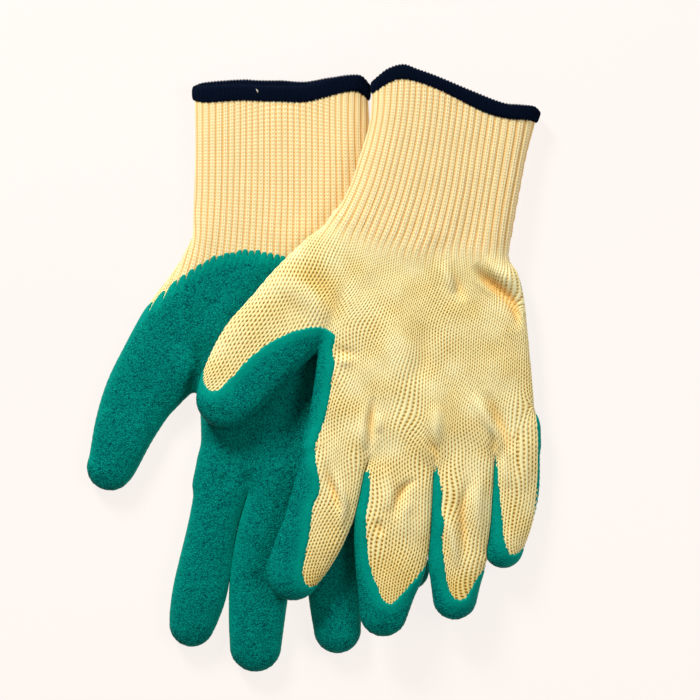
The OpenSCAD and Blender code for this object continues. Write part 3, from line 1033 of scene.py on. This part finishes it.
def thread_material(name, dark, light):
    """Overlock thread laid side by side over the hem."""
    n = Nodes(name)
    uv, across, along = n.knit_lines()
    strand = (along * 0.6 + across).wave("SINE")
    fuzz = n.noise(uv, 3, 3)
    # Colour from the strand wave is painted highlight on each strand's crown and painted shade
    # between strands; the fuzz noise adds random tone
    n.set(Base_Color=n.mix(strand * fuzz, dark, light), Roughness=0.9, Specular_IOR_Level=0.08)
    n.bump(strand + fuzz * 0.6, distance=0.0003, strength=0.7)
    return n.material


KNIT = knit_material("yellow_jersey")
RIB = knit_material("yellow_rib")
LATEX = latex_material("green_latex")
HEM = thread_material("navy_overlock", srgb(0, 5, 24), srgb(2, 26, 52))
ELASTIC = thread_material("pale_elastic", srgb(190, 185, 170), srgb(235, 230, 215))


# ---------------------------------------------------------------- the gloves
def dress(obj, node, material):
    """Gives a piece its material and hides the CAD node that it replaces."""
    obj.data.materials.append(material)
    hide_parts(node)


def cuff_side(glove, x, y):
    """Distance past the wrist into the cuff."""
    if glove.side == "right":
        return y - WRIST["right"][1]
    a, b = np.array(LEFT_WRIST_LINE)
    way = (b - a) / np.linalg.norm(b - a)
    return (x - a[0]) * -way[1] + (y - a[1]) * way[0]


def mouth_side(glove, x, y):
    """Distance past the rim of the cuff's mouth."""
    rim = np.array(RIGHT_RIM if glove.side == "right" else LEFT_RIM)
    return y - np.interp(x, rim[:, 0], rim[:, 1])


def build_layers(skin, name, faces):
    """The knit and the latex of a hand or a digit."""
    knit = skin.piece(f"{name}_jersey", faces)
    dress(knit, f"{name}_liner", KNIT)
    coat = skin.piece(f"{name}_latex", faces, coat=True)
    dress(coat, f"{name}_coat", LATEX)
    return knit, coat


def build_glove(glove):
    """A glove's hand, cuff and digits.  A face across a cut is the cuff's or the digit's."""
    side = glove.side
    g = glove.grid
    skin = Skin(glove, glove.whole, (0, g.size[0], 0, g.size[1]))
    x, y, _ = skin.flat.T
    beyond = np.zeros(x.shape, bool)
    for i, digit in enumerate(glove.digits):
        beyond |= (skin.labels == i) & digit.zone(x, y)
    in_cuff = (cuff_side(glove, x, y) > 0)[skin.quads].any(axis=1)
    in_digits = beyond[skin.quads].any(axis=1)
    outside = (mouth_side(glove, x, y) > -KNIT_END)[skin.quads].any(axis=1)
    cuff = skin.piece(f"{side}_cuff_ribbing", in_cuff & ~outside)
    dress(cuff, f"{side}_cuff_knit", RIB)
    for obj in build_layers(skin, f"{side}_hand", ~in_cuff & ~in_digits):
        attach(obj, f"{side}_hand")
    lining = build_lining(glove)
    dress(lining, f"{side}_cuff_knit", RIB)
    for obj in (cuff, lining):
        if side == "right":
            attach(obj, "right_hand")
        else:
            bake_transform(obj)
    for digit, field in zip(glove.digits, glove.fields):
        build_digit(glove, digit, field)


def build_lining(glove):
    """Inside of a cuff, one wall's thickness in from its knit."""
    fine = glove.grid
    high = [fine.x[-1, -1], fine.y[-1, -1]]
    coarse = Grid(fine.low, high, 2 * STEP)
    field = np.min(glove.plan(coarse.x, coarse.y), axis=0) + WALL
    window = (0, coarse.size[0], 0, coarse.size[1])
    points, quads, _ = extract(coarse, field, window, HALF - WALL)
    x, y, z = points.T
    depth = -coarse.read(field, x, y)
    keep = (cuff_side(glove, x, y) > LINING_START) & (mouth_side(glove, x, y) < -LINING_END)
    points[:, 2] += glove.base - glove.drop(x) + glove.lift(x, y, z, depth)[0]
    points[:, 2] = np.maximum(points[:, 2], LINING_LOWEST)
    points, faces, used = compact(points, quads[keep[quads].all(axis=1)][:, ::-1])
    name = f"{glove.side}_cuff_lining"
    obj = quad_object(name, points, faces)
    wales = glove.lines.read(glove.wales, x, y)[used][faces]
    courses = glove.lines.read(glove.courses, x, y)[used][faces]
    set_knit_lines(obj.data, wales, courses)
    set_values(obj.data, "rib", np.ones(len(points)))
    return obj


def build_digit(glove, digit, field):
    """A digit's knit and latex, cut from the surface of the hand with this digit alone."""
    side, g = glove.side, glove.grid
    s, c = digit.place(g.x, g.y)
    i, j = np.where((s > -3) & (field < 3) & (np.abs(c) < 30))
    window = (max(i.min() - 2, 0), i.max() + 3, max(j.min() - 2, 0), j.max() + 3)
    skin = Skin(glove, field, window)
    x, y, _ = skin.flat.T
    own = digit.zone(x, y)[skin.quads].any(axis=1)
    faces = own & (digit.distance(x, y) < 9)[skin.quads].all(axis=1)
    for obj in build_layers(skin, f"{side}_{digit.name}", faces):
        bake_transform(obj)


# ---------------------------------------------------------------- hems
def along_line(points, share):
    """Points at a share of the way along a smooth line, by its distance across."""
    line = smooth_line(points, 5)
    part = (line[:, 0] - line[0, 0]) / (line[-1, 0] - line[0, 0])
    return np.stack([np.interp(share, part, line[:, 0]), np.interp(share, part, line[:, 1])], 1)


def mouth_loop(width, count):
    """Closed loop of a cuff's section: distance across from its left side, and height."""
    angle = np.linspace(0, math.pi / 2, 24)
    inset = EDGE * (1 - np.cos(angle) ** (2 / POWER))
    height = HALF * np.sin(angle) ** (2 / POWER)
    across = np.concatenate([inset, (width - inset)[::-1]])
    up = np.concatenate([height, height[::-1]])
    across = np.concatenate([across, across[::-1][1:-1]])
    up = np.concatenate([up, -up[::-1][1:-1]])
    across = np.append(across, across[0])
    up = np.append(up, up[0])
    length = run_length(across, up)
    at = np.linspace(0, length[-1], count, endpoint=False)
    return np.interp(at, length, across), np.interp(at, length, up), length[-1]


def tube_quads(rings, sides, closed):
    """Quads of a tube of rings, with the ring and the side where each begins."""
    last = rings if closed else rings - 1
    i, j = np.meshgrid(np.arange(last), np.arange(sides), indexing="ij")
    here, there = i * sides, (i + 1) % rings * sides
    over = (j + 1) % sides
    quads = np.stack([here + j, here + over, there + over, there + j], -1)
    return quads.reshape(-1, 4), i, j


def boxy(wave, power=0.55):
    """A sine or cosine made squarer, for a section with rounded corners."""
    return np.sign(wave) * np.abs(wave) ** power


def ring(glove, name, thick, deep, wall, relief=0.0):
    """A band round a cuff's mouth: half-thickness, share of the hem's depth, place in the wall."""
    rim, foot, under = (
        (RIGHT_RIM, RIGHT_HEM_FOOT, RIGHT_UNDER_RIM) if glove.side == "right"
        else (LEFT_RIM, LEFT_HEM_FOOT, LEFT_UNDER_RIM))
    width = rim[-1][0] - rim[0][0]
    count, sections = ((760, 44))
    across, up, length = mouth_loop(width, count)
    share = across / width
    more = np.interp(share, (0, 0.5, 1), under) * (1 - up / HALF) / 2
    top, bottom = along_line(rim, share), along_line(foot, share)
    top[:, 1] += more
    bottom[:, 1] += more * 0.8
    axial = top - bottom
    depth = np.linalg.norm(axial, axis=1)
    axial /= depth[:, None]
    tangent = np.stack([np.roll(v, -1) - np.roll(v, 1) for v in (across, up)])
    tangent /= np.linalg.norm(tangent, axis=0)
    out = np.stack([-tangent[1] * axial[:, 1], tangent[1] * axial[:, 0], tangent[0]], 1)
    middle = (top + bottom) / 2
    height = glove.base - glove.drop(middle[:, 0]) + up
    centre = np.column_stack([middle, height]) + wall * out
    turn = np.arange(count) / count
    strands = round(length / HEM_STRAND)
    scallop = relief * np.abs(np.sin(math.pi * round(length / HEM_STITCH) * turn))
    cord = relief * 0.35 * beat(strands * turn)
    half_deep = (depth / 2 * deep + scallop - relief * 0.6)[:, None]
    half_thick = (thick + cord)[:, None]
    angle = 2 * math.pi * np.arange(sections) / sections
    lengthways = np.column_stack([axial, 0 * depth])
    points = (centre[:, None] + lengthways[:, None] * (half_deep * boxy(np.cos(angle)))[:, :, None]
              + out[:, None] * (half_thick * boxy(np.sin(angle)))[:, :, None]).reshape(-1, 3)
    points[:, 2] = np.maximum(points[:, 2], HEM_LOWEST)
    quads, i, j = tube_quads(count, sections, closed=True)
    obj = quad_object(name, points, quads)
    u = np.stack([i, i, i + 1, i + 1], -1) / count * strands
    v = np.stack([j, j + 1, j + 1, j], -1) / sections * 8
    set_knit_lines(obj.data, u, v)
    return obj


def build_stray_thread():
    """The short loose end of pale yarn that stands on the right cuff's hem."""
    # Points of its middle, with its radius at each
    way = ((-26.9, 128.2, 10.3, 0.12), (-26.5, 127.6, 10.8, 0.3), (-26.2, 127, 10.9, 0.34),
           (-26.3, 126.4, 10.5, 0.12))
    sides = 10
    turn = 2 * math.pi * np.arange(sides) / sides
    circle = np.stack([np.cos(turn), 0 * turn, np.sin(turn)], 1)
    centres = smooth_line(way, 4)
    points = (centres[:, None, :3] + centres[:, None, 3:] * circle).reshape(-1, 3)
    quads = tube_quads(len(centres), sides, closed=False)[0]
    return quad_object("right_cuff_loose_thread", points, quads)


def build_hem(glove):
    """The overlock and the elastic round a cuff's mouth, and the right one's loose thread."""
    side = glove.side
    body = "right_hand" if side == "right" else "left_cuff"
    hem = ring(glove, f"{side}_cuff_overlock", thick=1.45, deep=1.03, wall=-0.6, relief=0.7)
    dress(hem, f"{side}_cuff_binding", HEM)
    elastic = ring(glove, f"{side}_cuff_elastic_band", thick=0.3, deep=0.55, wall=-1.2)
    dress(elastic, f"{side}_cuff_elastic", ELASTIC)
    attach(hem, body)
    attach(elastic, body)
    if side == "right":
        thread = build_stray_thread()
        dress(thread, "right_cuff_elastic", ELASTIC)
        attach(thread, body)


right = Glove("right", RIGHT_BODY, RIGHT_DIGITS, (-112, -150), (54, 144))
left = Glove("left", LEFT_BODY, LEFT_DIGITS, (-66, -134), (122, 152))
for glove in (right, left):
    build_glove(glove)
    build_hem(glove)


# ---------------------------------------------------------------- stage
FLOOR_DROP = 0.0002
LENS = 150
SENSOR = 36
# Middle of the view, height where it is measured, and the width seen there, in metres
VIEW = (0.0161, 0.0085, 0.010, 0.321)


def build_stage():
    """A pale floor that gives off its own light, so that shadows on it stay faint."""
    bpy.ops.mesh.primitive_plane_add(size=8, location=(0, 0, -FLOOR_DROP))
    floor = bpy.context.object
    floor.name = "floor"
    n = Nodes("pale_floor")
    n.set(Base_Color=(0.12, 0.113, 0.104), Roughness=1.0, Specular_IOR_Level=0.0,
          Emission_Color=srgb(255, 248, 244), Emission_Strength=0.882)
    floor.data.materials.append(n.material)


def area_light(name, place, size, power, color=(1, 1, 1)):
    """A round lamp that points at the frame's origin."""
    light = bpy.data.lights.new(name, "AREA")
    light.shape = "DISK"
    light.size, light.energy, light.color = size, power, color
    obj = bpy.data.objects.new(name, light)
    obj.location = place
    obj.rotation_euler = (-Vector(place)).to_track_quat("-Z", "Y").to_euler()
    bpy.context.scene.collection.objects.link(obj)


def build_lights():
    """A dim studio, a key light from the cuffs' side and a weaker fill from the right."""
    world = bpy.data.worlds.new("studio")
    world.use_nodes = True
    background = world.node_tree.nodes["Background"]
    background.inputs["Color"].default_value = (*srgb(255, 250, 243), 1)
    background.inputs["Strength"].default_value = 0.21
    bpy.context.scene.world = world
    area_light("key", (-0.55, 1.0, 0.66), size=0.4, power=21, color=(1, 0.98, 0.95))
    area_light("fill", (1.0, 0.1, 1.1), size=0.8, power=7)


def build_camera():
    """The photo's view, straight down."""
    data = bpy.data.cameras.new("camera")
    data.lens, data.sensor_width = LENS, SENSOR
    camera = bpy.data.objects.new("camera", data)
    x, y, z, width = VIEW
    camera.location = (x, y, z + width * LENS / SENSOR)
    bpy.context.scene.collection.objects.link(camera)
    bpy.context.scene.camera = camera
    bpy.context.scene.view_settings.view_transform = "Standard"


build_stage()
build_lights()
build_camera()
